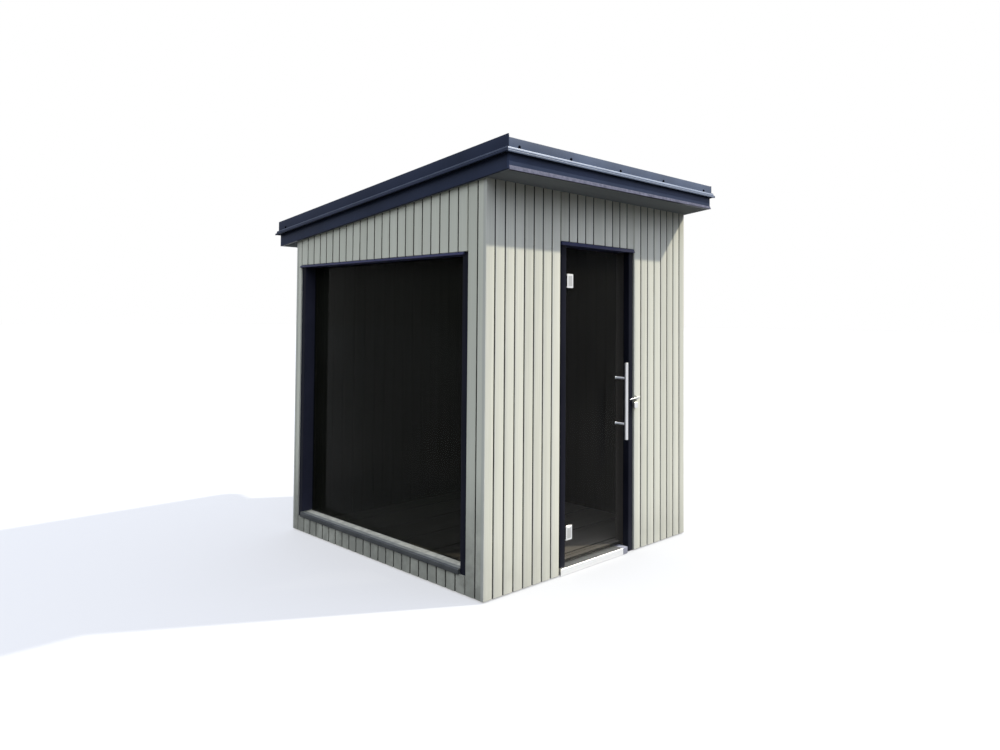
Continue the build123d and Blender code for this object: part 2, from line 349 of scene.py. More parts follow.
def stretched(tree, scale):
    # Object coordinates, scaled along each axis
    stretch = addNode(tree, "ShaderNodeMapping", {"Scale": scale})
    wire(tree, (addNode(tree, "ShaderNodeTexCoord").outputs["Object"], stretch.inputs["Vector"]))
    return stretch.outputs[0]


def mixColours(tree, factor, first, second):
    # first and second are colours or sockets
    node = addNode(tree, "ShaderNodeMix", data_type="RGBA")
    wire(tree, (factor, node.inputs[0]))
    for socket, value in ((node.inputs[6], first), (node.inputs[7], second)):
        if isinstance(value, tuple):
            socket.default_value = (*value, 1)
        else:
            wire(tree, (value, socket))
    return node.outputs[2]


def bumpInto(tree, sockets, height, strength, distance):
    node = addNode(tree, "ShaderNodeBump", {"Strength": strength, "Distance": distance})
    wire(tree, (height, node.inputs["Height"]), (node.outputs[0], sockets["Normal"]))


def timberFinish(name, look):
    # two tones blended by each board's own tone and by the grain, darker towards the foot with splash dirt
    # that on the shaded left wall is also painted shade
    finish, tree, sockets = startFinish(name, Specular_IOR_Level=look["specular"])
    grainNode = addNode(tree, "ShaderNodeGroup", {"Bands": look["bands"]}, node_tree=timberGrain)
    grain = grainNode.outputs["Grain"]
    splashAndShade = placeGroup(tree, weatherAndShade, Splash_height=look["splashAndShadeHeight"])["SplashAndShade"]
    tone = addNode(tree, "ShaderNodeAttribute", attribute_name="tone")
    blend = addNode(tree, "ShaderNodeMix", {0: look["grainShare"]}, data_type="FLOAT")
    wire(
        tree,
        (stretched(tree, look["stretch"]), grainNode.inputs["Vector"]),
        (tone.outputs["Fac"], blend.inputs[2]), (grain, blend.inputs[3]),
    )
    colour = mixColours(tree, blend.outputs[0], look["dark"], look["light"])
    colour = mixColours(tree, rescale(tree, splashAndShade, 0, look["splashAndShade"]), colour, look["soilAndShade"])
    roughness = rescale(tree, grain, *look["roughness"])
    wire(tree, (colour, sockets["Base Color"]), (roughness, sockets["Roughness"]))
    bumpInto(tree, sockets, grain, look["bump"], bumpDepth["grain"])
    return finish


def coatFinish(name, look):
    # a sprayed coat whose tone drifts slowly, with dust where it looks up and at its foot
    finish, tree, sockets = startFinish(name, Specular_IOR_Level=look["specular"])
    coat = placeGroup(tree, sprayedCoat, Peel_scale=look["peelScale"], Tone_scale=look["toneScale"])
    dirt = placeGroup(tree, weatherAndShade, Splash_height=look["splashAndShadeHeight"])
    colour = mixColours(tree, coat["Tone"], look["dark"], look["light"])
    for label, most in (("Dust", look["dust"]), ("SplashAndShade", look["splashAndShade"])):
        colour = mixColours(tree, rescale(tree, dirt[label], 0, most), colour, look["dustColour"])
    roughness = rescale(tree, coat["Tone"], *look["roughness"])
    wire(tree, (colour, sockets["Base Color"]), (roughness, sockets["Roughness"]))
    bumpInto(tree, sockets, coat["Peel"], look["bump"], bumpDepth["peel"])
    return finish


def brushedFinish(name, look):
    # bare metal with fine scratches drawn along one axis
    finish, tree, sockets = startFinish(name, Metallic=look["metallic"])
    lines = addNoise(tree, stretched(tree, look["stretch"]), detail=4.0, roughness=0.65).outputs[0]
    colour = mixColours(tree, rescale(tree, lines, 0, 1, *noiseSpan), look["dark"], look["light"])
    roughness = rescale(tree, lines, *look["roughness"], *noiseSpan)
    wire(tree, (colour, sockets["Base Color"]), (roughness, sockets["Roughness"]))
    bumpInto(tree, sockets, lines, look["bump"], bumpDepth["scratch"])
    return finish


def glassFinish(name, look):
    # grey glass: thin see-through sheet, its gloss slightly broken by film and dust
    finish, tree, sockets = startFinish(name, Specular_IOR_Level=look["specular"], IOR=look["ior"])
    film = placeGroup(tree, sprayedCoat, Tone_scale=look["filmScale"])["Tone"]
    wire(
        tree,
        (mixColours(tree, film, look["dark"], look["light"]), sockets["Base Color"]),
        (rescale(tree, film, *look["roughness"]), sockets["Roughness"]),
        (rescale(tree, film, *look["cover"]), sockets["Alpha"]),
    )
    return finish


finishes = {}


def addFinishes(make, base, changes):
    # every finish takes the base look and changes some of its values
    for name, change in changes.items():
        finishes[name] = make(name, {**base, **change})


boardLook = {
    "dark": (0.545, 0.535, 0.438), "light": (0.785, 0.765, 0.64), "soilAndShade": (0.34, 0.335, 0.28),
    "stretch": (190, 190, 2.6), "bands": 0.35, "grainShare": 0.58, "splashAndShadeHeight": 0.42, "splashAndShade": 0.5,
    "roughness": (0.5, 0.72), "bump": 0.16, "specular": 0.08,
}
addFinishes(timberFinish, boardLook, {
    "boardPaint": {},
    # the left wall's boards: a darker, less blue copy of the board paint with a strong, tall darkening
    # towards the ground, painted shade
    "shadeSideBoardPaint": {
        "dark": (0.540, 0.535, 0.41), "light": (0.690, 0.680, 0.53), "soilAndShade": (0.29, 0.285, 0.225),
        "splashAndShade": 1.9, "splashAndShadeHeight": 0.8,
    },
    # near-black backing for groove floors and deep board sides: partly dirt, partly painted shade in the
    # grooves
    "boardBackingShade": {"dark": (0.055, 0.052, 0.043), "light": (0.09, 0.085, 0.07), "specular": 0.0},
    # a darker copy of the board paint for the outer sides of the end boards, painted shade
    "boardEdgeShade": {
        "dark": (0.48, 0.477, 0.385), "light": (0.60, 0.59, 0.48), "splashAndShade": 1.3, "splashAndShadeHeight": 0.75,
    },
    "soffitPaint": {
        "dark": (0.31, 0.33, 0.338), "light": (0.37, 0.39, 0.40), "stretch": (2.0, 150, 150),
        "specular": 0.0, "splashAndShade": 0.0, "bump": 0.1,
    },
    # dark timber of the base frame, also put on the planks' sides as painted shade in the floor gaps
    "baseTimberAndGapShade": {
        "dark": (0.035, 0.034, 0.03), "light": (0.075, 0.07, 0.06), "soilAndShade": (0.12, 0.11, 0.09),
        "stretch": (3, 3, 160), "specular": 0.2, "bump": 0.4,
    },
})
# near-black wood for the lining and the ceiling, painted shade of the dark room
liningLook = {
    **boardLook, "dark": (0.024, 0.018, 0.014), "light": (0.045, 0.034, 0.027), "soilAndShade": (0.04, 0.032, 0.025),
    "stretch": (120, 120, 2.0), "bands": 0.5, "grainShare": 0.75, "splashAndShade": 0.2, "roughness": (0.55, 0.75),
    "bump": 0.25,
}
addFinishes(timberFinish, liningLook, {
    "liningWoodShade": {},
    "ceilingWoodShade": {"stretch": (2.0, 120, 120)},
    "frameWood": {"dark": (0.12, 0.105, 0.088), "light": (0.19, 0.165, 0.138), "soilAndShade": (0.12, 0.10, 0.08)},
    "floorWood": {
        "dark": (0.37, 0.325, 0.262), "light": (0.56, 0.505, 0.415), "soilAndShade": (0.2, 0.18, 0.15),
        "stretch": (2.2, 130, 130), "bump": 0.3,
    },
})
trimLook = {
    "dark": (0.029, 0.037, 0.060), "light": (0.041, 0.051, 0.082), "dustColour": (0.30, 0.31, 0.32),
    "peelScale": 420.0, "toneScale": 2.6, "splashAndShadeHeight": 0.25, "splashAndShade": 0.12, "dust": 0.10,
    "roughness": (0.30, 0.38), "bump": 0.05, "specular": 0.03,
}
addFinishes(coatFinish, trimLook, {
    "navyTrim": {},
    # a lighter copy of the navy for the front and back fascias, painted light
    "frontFasciaLit": {"dark": (0.036, 0.047, 0.080), "light": (0.050, 0.064, 0.110)},
    # a darker copy of the navy for the side flashing bands, painted shade, and a lighter one for their lip
    # ridges, a painted highlight
    "sideBandShade": {"dark": (0.024, 0.031, 0.050), "light": (0.032, 0.040, 0.066)},
    "sideBeadHighlight": {"dark": (0.052, 0.062, 0.085), "light": (0.070, 0.082, 0.110), "toneScale": 7.0},
    "edgeStrip": {
        "dark": (0.070, 0.073, 0.106), "light": (0.164, 0.165, 0.222), "toneScale": 34.0,
        "roughness": (0.45, 0.6),
    },
    # a lighter, more purple copy of the navy for the door and window heads, a painted sky reflection
    "headTrimSheen": {"dark": (0.042, 0.044, 0.086), "light": (0.058, 0.060, 0.110)},
    "roofCoat": {"dust": 0.35, "toneScale": 1.2, "roughness": (0.38, 0.55)},
    "screwCoat": {
        "dark": (0.002, 0.002, 0.003), "light": (0.005, 0.005, 0.007), "toneScale": 60.0,
        "specular": 0.0, "dust": 0.0,
    },
    # a grey for the threshold's last 48 mm
    "thresholdGreyEnd": {
        "dark": (0.24, 0.24, 0.28), "light": (0.33, 0.33, 0.37), "toneScale": 14.0, "roughness": (0.4, 0.55),
    },
})
addFinishes(coatFinish, {**trimLook, "dust": 0.03, "splashAndShade": 0.06}, {
    # a near-black copy of the navy for the jambs, the strip's hem and the window head's end, painted shade; a
    # lighter copy for the far window reveal, painted light
    "jambTrimShade": {"dark": (0.0078, 0.0083, 0.0135), "light": (0.0126, 0.0130, 0.0204)},
    "revealTrimLit": {"dark": (0.026, 0.027, 0.040), "light": (0.039, 0.040, 0.060)},
})
# front and back flashings: a lighter, bluer navy, a painted sheen, and much lighter ridges on the lip,
# painted glints
addFinishes(coatFinish, {**trimLook, "specular": 0.36, "roughness": (0.42, 0.52)}, {
    "frontBandSheen": {"dark": (0.038, 0.056, 0.098), "light": (0.068, 0.096, 0.162)},
    "frontBeadGlint": {
        "dark": (0.18, 0.215, 0.29), "light": (0.24, 0.285, 0.375), "toneScale": 7.0,
        "roughness": (0.34, 0.44),
    },
    "frontHemGlint": {"dark": (0.085, 0.108, 0.155), "light": (0.125, 0.155, 0.215), "specular": 0.2},
})
addFinishes(coatFinish, {**trimLook, "dust": 0.2}, {
    "sillMetal": {"dark": (0.050, 0.051, 0.047), "light": (0.088, 0.088, 0.078), "toneScale": 9.0},
    # lighter bands for the sill's top: dust and a painted sheen
    "sillMiddleDustAndSheen": {"dark": (0.19, 0.19, 0.155), "light": (0.31, 0.305, 0.25), "toneScale": 16.0},
    "sillTopDustAndSheen": {
        "dark": (0.37, 0.35, 0.27), "light": (0.62, 0.59, 0.46), "toneScale": 26.0,
        "dustColour": (0.5, 0.49, 0.42), "roughness": (0.4, 0.55),
    },
})
steelLook = {
    "metallic": 1.0, "dark": (0.66, 0.66, 0.655), "light": (0.80, 0.80, 0.79), "stretch": (600, 600, 14),
    "roughness": (0.26, 0.38), "bump": 0.08,
}
addFinishes(brushedFinish, steelLook, {
    "brushedSteel": {},
    "thresholdMetal": {
        "dark": (0.80, 0.80, 0.79), "light": (0.90, 0.90, 0.89), "stretch": (4, 500, 500),
        "roughness": (0.34, 0.46), "bump": 0.1,
    },
    "padlockSteel": {"dark": (0.62, 0.62, 0.60), "stretch": (500, 500, 40), "roughness": (0.28, 0.4)},
    "dullSteel": {"dark": (0.40, 0.40, 0.395), "light": (0.54, 0.54, 0.53), "roughness": (0.36, 0.5)},
    "satinPull": {
        "metallic": 0.8, "dark": (0.60, 0.60, 0.60), "light": (0.74, 0.74, 0.73), "roughness": (0.26, 0.36),
    },
    "satinPost": {
        "metallic": 0.1, "dark": (0.90, 0.90, 0.89), "light": (0.97, 0.97, 0.96), "roughness": (0.34, 0.46),
    },
    # near-black steel for the staple's ends and the padlock's bow, painted shade
    "ringShade": {
        "metallic": 0.3, "dark": (0.035, 0.035, 0.026), "light": (0.065, 0.065, 0.048),
        "roughness": (0.5, 0.65),
    },
})
glassLook = {
    "dark": (0.012, 0.012, 0.011), "light": (0.02, 0.02, 0.018), "filmScale": 2.0, "roughness": (0.015, 0.05),
    "cover": (0.31, 0.35), "specular": 0.025, "ior": 1.5,
}
addFinishes(glassFinish, glassLook, {
    "doorGlass": {},
    "windowGlass": {"dark": (0.007, 0.0075, 0.005), "light": (0.012, 0.0125, 0.009), "cover": (0.60, 0.66)},
})
print("finishes made:", len(finishes))


# pieces: each takes the place of one node

def addPiece(name, shells, paints, node, body="cabin", crease=38):
    starts = np.cumsum([0] + [len(shell["points"]) for shell in shells[:-1]])
    points = np.concatenate([shell["points"] for shell in shells])
    quads = np.concatenate([shell["quads"] + start for shell, start in zip(shells, starts)])
    caps = [(cap + start).tolist() for shell, start in zip(shells, starts) for cap in shell["caps"]]
    capPaints = np.concatenate([np.full(len(shell["caps"]), shell["paints"][0]) for shell in shells])
    facePaints = np.concatenate([shell["paints"] for shell in shells] + [capPaints])
    tones = np.concatenate([np.full(len(shell["points"]), shell["tone"]) for shell in shells])
    mesh = bpy.data.meshes.new(name)
    mesh.from_pydata(points.tolist(), [], quads.tolist() + caps)
    mesh.polygons.foreach_set("material_index", facePaints.astype(np.int32))
    mesh.attributes.new("tone", "FLOAT", "POINT").data.foreach_set("value", tones.astype(np.float32))
    for paint in paints:
        mesh.materials.append(finishes[paint])
    mesh.shade_smooth()
    mesh.set_sharp_from_angle(angle=math.radians(crease))
    mesh.update()
    piece = bpy.data.objects.new(name, mesh)
    bpy.context.scene.collection.objects.link(piece)
    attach(piece, body)
    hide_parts(node)


def paintNode(node, paint):
    # a node whose shape stays gets a finish only
    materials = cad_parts[node].data.materials
    materials.clear()
    materials.append(finishes[paint])


# walls: tongued boards outside, a core with a vee-grooved lining inside

boarding = {
    "module": 0.079327, "gap": 0.0100, "thick": 0.022, "tongueDepth": 0.0115, "roundEdge": 0.0030,
    "footEase": 0.002, "unevenness": 0.0006, "headGap": 0.0015, "cornerGap": 0.0003,
    "frontStarts": (-0.9283, 0.0637), "frontJoints": 12, "sideLast": 0.9102, "sideJoints": 24,
}
lining = {
    "module": 0.094, "groove": 0.007, "depth": 0.005, "wallMargin": 0.02, "ceilingMargin": 0.04,
    "ceilingLap": 0.05,
}
skin, wallThick = boarding["thick"], innerFront - wallFront
wallSides = {  # axis along the wall, its outer face, and the way in
    "front": (0, wallFront, 1), "back": (0, wallBack, -1),
    "left": (1, wallLeft, 1), "right": (1, wallRight, -1),
}
frontGrooves = np.concatenate([
    start + boarding["module"] * np.arange(boarding["frontJoints"]) for start in boarding["frontStarts"]
])
sideGrooves = boarding["sideLast"] - boarding["module"] * np.arange(boarding["sideJoints"])[::-1]


def onWall(side, along, inward):
    # plan points from the place along a wall and the depth behind its face
    axis, face, direction = wallSides[side]
    across = face + direction * np.asarray(inward)
    return np.column_stack([along, across] if axis == 0 else [across, along])


def boardEdges(grooves, start, stop):
    # boards lie between grooves, half a gap back from each; the outer ones end at start and stop
    inside = grooves[(grooves > start + hair) & (grooves < stop - hair)]
    half = boarding["gap"] / 2
    return np.column_stack([np.append(start, inside + half), np.append(inside - half, stop)])


def boardShells(side, edges, lowLevel, topLevel):
    # each section is a face with rounded edges and a tongue that floors the groove beside it; faces deep in
    # the groove take a near-black backing, partly dirt and partly painted shade
    shells = []
    nextStart = np.append(edges[1:, 0], edges[-1, 1])
    sunk = rng.uniform(0, boarding["unevenness"], len(edges))
    tones = rng.uniform(0, 1, len(edges))
    for (begin, end), tongue, inset, tone in zip(edges, nextStart, sunk, tones):
        corners = [(begin, inset), (end, inset), (end, skin), (begin, skin)]
        if tongue > end:
            depth = boarding["tongueDepth"]
            corners[2:3] = [(end, depth), (tongue, depth), (tongue, skin)]
        section = roundOff(corners, [boarding["roundEdge"]] * 2 + [0] * (len(corners) - 2))
        middle = nextEdges(section)[0][:, 0]
        outer = (middle < edges[0, 0] + hair) | (middle > edges[-1, 1] - hair)
        deep = np.minimum(section[:, 1], np.roll(section[:, 1], -1)) > boarding["roundEdge"] - hair
        outline = onWall(side, section[:, 0], section[:, 1])
        # outer sides of the end boards take the darker edge paint, painted shade; deep faces take the backing
        paint = np.where(outer, 3, deep)
        shells.append(upright(outline, lowLevel, topLevel, boarding["footEase"], paint=paint, tone=tone))
    return shells


def veeNotches(centres, flat, deep):
    # three points for every groove: its edges at one depth and its root at another
    half = lining["groove"] / 2
    along = np.stack([centres - half, centres, centres + half], 1).ravel()
    return along, np.tile([flat, deep, flat], len(centres))


def coreShell(side, begin, end, lowLevel, topLevel):
    # a slab from behind the boards to the room, with a vee groove between lining boards; its outer face takes
    # the near-black backing, partly dirt and partly painted shade in the gaps, and its room side the
    # near-black lining, painted shade of the room
    first = math.ceil((begin + lining["wallMargin"]) / lining["module"])
    last = math.floor((end - lining["wallMargin"]) / lining["module"])
    root = wallThick - lining["depth"]
    notches, depths = veeNotches(np.arange(first, last + 1) * lining["module"], wallThick, root)
    along = np.concatenate([[begin, end, end], notches[::-1], [begin]])
    inward = np.concatenate([[skin, skin, wallThick], depths[::-1], [wallThick]])
    roomSide = np.minimum(inward, np.roll(inward, -1)) > root - hair
    return upright(onWall(side, along, inward), lowLevel, topLevel, paint=1 + roomSide.astype(int))


def addWall(node, side, edges, boardFoot, begin, end, coreFoot, top):
    shells = boardShells(side, edges, boardFoot, top)
    shells.append(coreShell(side, begin, end, coreFoot, top))
    # the left wall takes the darker copy of the board paint, painted shade
    face = "shadeSideBoardPaint" if side == "left" else "boardPaint"
    addPiece(node + "_boards", shells, [face, "boardBackingShade", "liningWoodShade", "boardEdgeShade"], node)


def between(boards, before, after):
    # the boards that lie between the last of one set and the first of another
    return boards[(boards[:, 0] > before[-1, 1]) & (boards[:, 1] < after[0, 0])]


coreFront, coreBack = wallFront + skin, wallBack - skin
frontBoards = boardEdges(frontGrooves, wallLeft, wallRight)
sideBoards = boardEdges(sideGrooves, coreFront + boarding["cornerGap"], coreBack - boarding["cornerGap"])
leftOfDoor = frontBoards[frontBoards[:, 1] < doorLeft]
rightOfDoor = frontBoards[frontBoards[:, 0] > doorRight]
overDoor = between(frontBoards, leftOfDoor, rightOfDoor)
beforeWindow = sideBoards[sideBoards[:, 1] < windowFront]
behindWindow = sideBoards[sideBoards[:, 0] > windowBack]
atWindow = between(sideBoards, beforeWindow, behindWindow)
# the boards over an opening start a little above its head
doorGap, windowGap = doorTop + boarding["headGap"], windowTop + boarding["headGap"]

addWall("door_wall_left", "front", leftOfDoor, footLevel, innerLeft, doorLeft, baseTop, soffitAt)
addWall("door_wall_right", "front", rightOfDoor, footLevel, doorRight, innerRight, baseTop, soffitAt)
addWall("door_wall_over", "front", overDoor, doorGap, doorLeft, doorRight, doorTop, soffitAt)
addWall("window_wall_front", "left", beforeWindow, footLevel, coreFront, windowFront, baseTop, soffitAt)
addWall("window_wall_back", "left", behindWindow, footLevel, windowBack, coreBack, baseTop, soffitAt)
addWall("window_wall_over", "left", atWindow, windowGap, windowFront, windowBack, windowTop, soffitAt)
addWall("window_wall_under", "left", atWindow, footLevel, windowFront, windowBack, baseTop, windowLow)
addWall("right_wall", "right", sideBoards, footLevel, coreFront, coreBack, baseTop, soffitAt)
addWall("back_wall", "back", frontBoards, footLevel, innerLeft, innerRight, baseTop, soffitAt)
print("walls boarded")


# floor: wide planks from side to side, and a short one in the doorway

planking = {
    "firstGap": -0.8385, "module": 0.305, "gaps": 6, "gap": 0.010, "round": 0.0025, "ease": 0.0015,
    "endGap": 0.002, "doorTone": 0.4,
}
floorTop, endGap = high("floor_deck")[2], planking["endGap"]
plankGaps = planking["firstGap"] + planking["module"] * np.arange(planking["gaps"])
plankEdges = np.column_stack([
    np.append(innerFront, plankGaps + planking["gap"] / 2),
    np.append(plankGaps - planking["gap"] / 2, innerBack),
])


def plank(begin, end, start, stop, tone):
    # a board across the room with rounded upper edges; its sides are painted dark, painted shade in the gaps
    outline = roundOff(rectangle(begin, end, baseTop, floorTop), [0, 0, planking["round"], planking["round"]])
    step = nextEdges(outline)[1]
    paint = (step[:, 1] > step[:, 0]).astype(int)
    return carried(outline, start, stop, 0, planking["ease"], paint=paint, tone=tone)


plankShells = [
    plank(begin, end, innerLeft + endGap, innerRight - endGap, tone)
    for (begin, end), tone in zip(plankEdges, rng.uniform(0, 1, len(plankEdges)))
]
doorPlank = (low("floor_deck")[1], innerFront - endGap, clearLeft, clearRight)
plankShells.append(plank(*doorPlank, planking["doorTone"]))
addPiece("floor_planks", plankShells, ["floorWood", "baseTimberAndGapShade"], "floor_deck")
paintNode("base_frame", "baseTimberAndGapShade")
print("floor laid")


# roof body: plain soffit outside, vee-grooved ceiling over the room

roofFront, roofBack = low("roof_body")[1], high("roof_body")[1]
roofLeft, roofRight = low("roof_body")[0], high("roof_body")[0]
roofThick = high("roof_body")[2] - soffitAt(roofFront)


def roofBodyShell():
    # a section with vee notches over the room, carried from side to side
    margin, lap = lining["ceilingMargin"], lining["ceilingLap"]
    centres = np.arange(innerFront + margin, innerBack - margin, lining["module"])
    notches, lifts = veeNotches(centres, 0, lining["depth"])
    along = np.concatenate([[roofFront, innerFront], notches, [innerBack, roofBack, roofBack, roofFront]])
    lift = np.concatenate([[0, 0], lifts, [0, 0, roofThick, roofThick]])
    section = np.column_stack([along, soffitAt(along) + lift])
    middle = nextEdges(section)[0][:, 0]
    underside = np.maximum(lift, np.roll(lift, -1)) < roofThick / 2
    overRoom = ((middle > innerFront) & (middle < innerBack) & underside).astype(int)
    rings = np.empty((4, len(section), 3))
    rings[:, :, 0] = np.array([roofLeft, innerLeft - lap, innerRight + lap, roofRight])[:, None]
    rings[:, :, 1:] = section
    return ringShell(rings, paint=np.outer([0, 1, 0], overRoom))


# the ceiling over the room takes the near-black wood, painted shade
addPiece("roof_underside", [roofBodyShell()], ["soffitPaint", "ceilingWoodShade"], "roof_body")
paintNode("roof_sheet", "roofCoat")
print("roof body made")


# fascias, flashings and the kicked strip under the front edge

edging = {"fold": 0.0016, "ease": 0.0010}
eaveFront, eaveBack = low("fascia_front")[1], high("fascia_back")[1]
eaveLeft, eaveRight = low("fascia_front")[0], high("fascia_front")[0]
sideFasciaHigh = high("fascia_left")[2] - soffitAt(roofFront)
frontFasciaTop, backFasciaTop = high("fascia_front")[2], high("fascia_back")[2]


def sideLevel(y):
    # top of the side fascias
    return soffitAt(y) + sideFasciaHigh


def downSlope(outline, start, stop, ease=0.0):
    # a section at the front end of the roof carried down its slope
    return carried(outline, start, stop, 1, ease, slope=-roofPitch["fall"])


def crossFascia(y0, y1, top):
    # upright board across the roof, its lower edge cut to the roof's slope
    corners = [(y0, soffitAt(y0)), (y1, soffitAt(y1)), (y1, top), (y0, top)]
    return carried(roundOff(corners, edging["fold"]), eaveLeft, eaveRight, 0, edging["ease"])


def sideFascia(x0, x1):
    outline = rectangle(x0, x1, soffitAt(roofFront), sideLevel(roofFront))
    return downSlope(roundOff(outline, edging["fold"]), roofFront, roofBack, edging["ease"])


for place, board, paint in (
    ("front", crossFascia(eaveFront, roofFront, frontFasciaTop), "frontFasciaLit"),
    ("back", crossFascia(roofBack, eaveBack, backFasciaTop), "frontFasciaLit"),
    ("left", sideFascia(eaveLeft, roofLeft), "navyTrim"),
    ("right", sideFascia(roofRight, eaveRight), "navyTrim"),
):
    addPiece(f"fascia_{place}_board", [board], [paint], "fascia_" + place)

# the strip's two ends hang at different heights, and a dark hem under its lower edge is painted near-black, a
# painted shadow line
strip = {
    "left": (-0.0085, 0.0165), "right": (0.002, 0.020), "topProud": 0.002, "proud": 0.009, "fold": 0.0012,
    "hem": 0.0022, "hemLean": 0.001, "hemFold": 0.0004,
}
stripLevel = soffitAt(eaveFront)


def stripRing(place, span, hem):
    # a kicked section, or the hem that closes it below
    bottom, top = stripLevel + np.array(span)
    proud = eaveFront - strip["proud"]
    if hem:
        under, lean = bottom - strip["hem"], proud + strip["hemLean"]
        corners = [(eaveFront, under), (eaveFront, bottom), (proud, bottom), (lean, under)]
    else:
        kick = eaveFront - strip["topProud"]
        corners = [(eaveFront, bottom), (eaveFront, top), (kick, top), (proud, bottom)]
    section = roundOff(corners, strip["hemFold"] if hem else strip["fold"])
    return np.column_stack([np.full(len(section), place), section])


stripEnds = ((eaveLeft, strip["left"]), (eaveRight, strip["right"]))
stripShells = [
    ringShell([stripRing(place, span, hem) for place, span in stripEnds], paint=int(hem))
    for hem in (False, True)
]
addPiece("front_strip", stripShells, ["edgeStrip", "jambTrimShade"], "front_edge_strip")

flashing = {
    "high": 0.076, "leftHigh": 0.091, "rightHigh": 0.075, "sheet": 0.008, "fold": 0.0022,
    "lipStart": 0.025, "lipReach": 0.018, "lipDrop": 0.032, "crease": (0.43, 0.57),
    "lipAcross": (0, 0.45, 0.60, 0.52, 0.86, 1.0, 1.0, 0.84, 0.76, 0.72, 0.40, 0),
    "lipDown": (0, 0.08, 0.44, 0.52, 0.61, 0.70, 0.94, 1.0, 0.94, 0.78, 0.62, 0.20),
    "lipRounds": (0, 0.004, 0.002, 0.0006, 0.003, 0.003, 0.002, 0.001, 0.001, 0.001, 0.002, 0),
    "screwRise": 0.033, "frontScrews": (-0.9517, -0.5226, -0.0491, 0.4234, 0.9305), "sideScrews": (1.0788,),
    "washer": [(0.0092, 0), (0.0092, 0.0008), (0.0060, 0.0022)], "washerSides": 20,
    "screwHead": [(0.0062, 0), (0.0062, 0.0048), (0.0050, 0.0058)], "screwSides": 6,
}
flashLow, flashHigh, lipReach = low("flashing_front"), high("flashing_front"), flashing["lipReach"]
bandFront, bandBack = flashLow[1] + lipReach, high("flashing_back")[1] - lipReach
bandLeft, bandRight = flashLow[0] + lipReach, flashHigh[0] - lipReach


def lipSection():
    # a sheet that leaves the band in one ridge, creases, runs out in a second ridge and hangs as a hem
    across = np.array(flashing["lipAcross"]) * lipReach
    down = np.array(flashing["lipDown"]) * flashing["lipDrop"]
    return roundOff(np.column_stack([across, -down]), flashing["lipRounds"])


def lipShell(corners, level, ridge, hem=0):
    # the lip from one corner of the roof to the next, mitred there, at a height or along the roof's slope
    section = lipSection()
    rings = []
    for x, y in corners:
        out = section[:, 0]
        points = np.column_stack([x + np.sign(x) * out, y + np.sign(y) * out, section[:, 1]])
        points[:, 2] += (level(points[:, 1]) if callable(level) else level) + flashing["lipStart"]
        rings.append(points)
    # the upper ridge takes the ridge paint, and on the cross flashings the lower ridge the hem paint: lighter
    # paints, painted highlights
    share = -nextEdges(section)[0][:, 1] / flashing["lipDrop"]
    creaseTop, creaseLow = flashing["crease"]
    return ringShell(rings, paint=np.where(share < creaseTop, ridge, hem * (share >= creaseLow)))


def screwShells(places, out):
    # a round washer with a low hexagonal head
    shapes = ((flashing["washer"], flashing["washerSides"]), (flashing["screwHead"], flashing["screwSides"]))
    return [turned(shape, place, out, sides, 1, capped=True) for place in places for shape, sides in shapes]


def crossFlashing(face, inside, level, out):
    # a band across the roof, its lip and its screws
    nearer, farther = sorted((face, inside))
    band = roundOff(rectangle(nearer, farther, level, level + flashing["high"]), flashing["fold"])
    places = [(x, face, level + flashing["screwRise"]) for x in flashing["frontScrews"]]
    return [
        carried(band, bandLeft + flashing["sheet"], bandRight - flashing["sheet"], 0),
        lipShell([(bandLeft, face), (bandRight, face)], level, ridge=2, hem=3),
        *screwShells(places, (0, out, 0)),
    ]


def sideFlashing(face, inside, out, tall):
    # a sheet from corner to corner, the block behind it, its lip and its screw
    behind = face - out * flashing["sheet"]
    sheet = rectangle(behind, face, sideLevel(bandFront), sideLevel(bandFront) + tall)
    block = rectangle(inside, behind, sideLevel(roofFront), sideLevel(roofFront) + tall)
    places = [(face, y, sideLevel(y) + flashing["screwRise"]) for y in flashing["sideScrews"]]
    return [
        downSlope(roundOff(sheet, flashing["fold"]), bandFront, bandBack, edging["ease"]),
        downSlope(block, roofFront, roofBack),
        lipShell([(face, bandFront), (face, bandBack)], sideLevel, ridge=2),
        *screwShells(places, (out, 0, 0)),
    ]


crossPaints = ["frontBandSheen", "screwCoat", "frontBeadGlint", "frontHemGlint"]
sidePaints = ["sideBandShade", "screwCoat", "sideBeadHighlight"]
for place, shells, paints in (
    ("front", crossFlashing(bandFront, roofFront, frontFasciaTop, -1), crossPaints),
    ("back", crossFlashing(bandBack, roofBack, backFasciaTop, 1), crossPaints),
    ("left", sideFlashing(bandLeft, roofLeft, -1, flashing["leftHigh"]), sidePaints),
    ("right", sideFlashing(bandRight, roofRight, 1, flashing["rightHigh"]), sidePaints),
):
    addPiece(f"flashing_{place}_fold", shells, paints, "flashing_" + place)
print("roof edges folded")


# door frame: folded jambs set back from the boards, a kicked head and a bright threshold

doorFrame = {
    "fold": 0.0022, "headFold": 0.0016, "kick": 0.009, "headSunk": 0.0005, "headEase": 0.0006,
    "nose": 0.004, "footRound": 0.002, "backRound": 0.001, "sheet": 0.006, "cap": 0.048,
}
skirtBack = low("base_frame")[1]
doorReveal = (low("door_jamb_left")[1], high("door_glass")[1], innerFront)  # face, back of the glass, room


